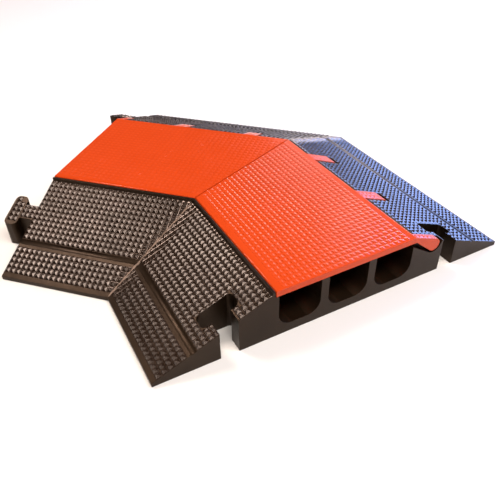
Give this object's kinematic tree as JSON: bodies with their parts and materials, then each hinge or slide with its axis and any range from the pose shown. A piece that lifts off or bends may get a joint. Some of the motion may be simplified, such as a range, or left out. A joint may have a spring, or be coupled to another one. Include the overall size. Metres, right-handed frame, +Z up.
{
  "type": "cable protector ramp turn section",
  "caption": "Low angled drive-over ramp section that carries cables round a bend in covered channels, with hinged lids and T-shaped connectors.",
  "frame": {"origin": "on the ground, where the centrelines of the two arms meet, in the mitre plane", "axes": "+X towards the slotted end, parallel to the line between the two ends; +Y towards the outside of the turn; +Z up"},
  "size_m": [0.6824, 0.6091, 0.069],
  "materials": {
    "base": "black cast polyurethane, satin, with a studded tread",
    "lid": "orange cast polyurethane, satin, with a fine raised tread",
    "rod": "pultruded fibreglass, natural"
  },
  "bodies": {
    "base": {"base_right": "base", "base_left": "base", "hinge_rod_right": "rod", "hinge_rod_left": "rod"},
    "lid_right": {"lid_right": "lid"},
    "lid_left": {"lid_left": "lid"}
  },
  "joints": [
    {"name": "lid_right_hinge", "type": "hinge", "parent": "base", "child": "lid_right", "pos_m": [0.1429, 0.08368, 0.04621], "axis": [-0.9239, 0.3827, 0], "range_deg": [0, 95]},
    {"name": "lid_left_hinge", "type": "hinge", "parent": "base", "child": "lid_left", "pos_m": [-0.1429, 0.08368, 0.04621], "axis": [-0.9239, -0.3827, 0], "range_deg": [0, 95]}
  ]
}
